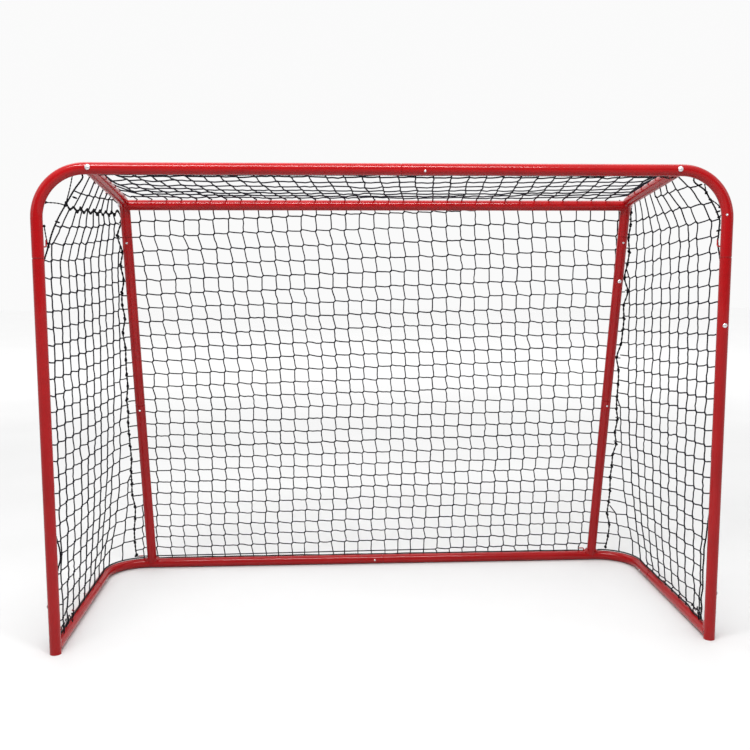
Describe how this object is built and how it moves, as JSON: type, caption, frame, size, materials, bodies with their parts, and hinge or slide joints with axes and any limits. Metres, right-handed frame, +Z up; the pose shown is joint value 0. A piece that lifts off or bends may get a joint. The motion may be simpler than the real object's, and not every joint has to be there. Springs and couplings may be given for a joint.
{
  "type": "hockey goal with net",
  "caption": "Free-standing street or floorball hockey goal: bent red steel tube frame with sloping rear posts, black knotted net on the roof, back and sides.",
  "frame": {"origin": "on the floor, in the middle of the goal's outline in X and Y", "axes": "+X along the crossbar to the right as seen from the front, +Y from the mouth to the back, +Z up"},
  "size_m": [1.6776, 0.6926, 1.178],
  "materials": {
    "frame_paint": "gloss",
    "hook_paint": "gloss",
    "fastener_zinc": "satin",
    "net_cord": "matte",
    "border_rope": "matte"
  },
  "bodies": {
    "root": {"crossbar_left": "frame_paint", "crossbar_right": "frame_paint", "post_left": "frame_paint", "post_right": "frame_paint", "base_side_left": "frame_paint", "base_side_right": "frame_paint", "heel_weld_left": "frame_paint", "heel_weld_right": "frame_paint", "base_corner_left": "frame_paint", "base_corner_right": "frame_paint", "top_side_left": "frame_paint", "top_side_right": "frame_paint", "rear_post_upper_left": "frame_paint", "rear_post_upper_right": "frame_paint", "rear_post_lower_left": "frame_paint", "rear_post_lower_right": "frame_paint", "rear_top_bar": "frame_paint", "rear_foot_weld_left": "frame_paint", "rear_foot_weld_right": "frame_paint", "crossbar_bolt_left": "fastener_zinc", "crossbar_bolt_right": "fastener_zinc", "side_bar_insert_left": "fastener_zinc", "side_bar_insert_right": "fastener_zinc", "rear_bar_bolt_left": "fastener_zinc", "rear_bar_bolt_right": "fastener_zinc", "rear_bar_insert_left": "fastener_zinc", "rear_bar_insert_right": "fastener_zinc", "front_joint_screws": "fastener_zinc", "crossbar_joint_screw": "fastener_zinc", "floor_bar_joint_screw": "fastener_zinc", "base_joint_screws": "fastener_zinc", "rear_joint_screws": "fastener_zinc", "net_screws": "fastener_zinc", "crossbar_hooks": "hook_paint", "post_hooks_left": "hook_paint", "post_hooks_right": "hook_paint", "base_hooks_left": "hook_paint", "base_hooks_right": "hook_paint", "floor_bar_hooks": "hook_paint", "side_bar_hooks_left": "hook_paint", "side_bar_hooks_right": "hook_paint", "net_top": "net_cord", "net_back": "net_cord", "net_side_left": "net_cord", "net_side_right": "net_cord", "seam_cord_left": "border_rope", "seam_cord_right": "border_rope", "border_cord_left": "border_rope", "border_cord_right": "border_rope", "border_cord_crossbar": "border_rope", "border_cord_floor": "border_rope"}
  },
  "joints": []
}
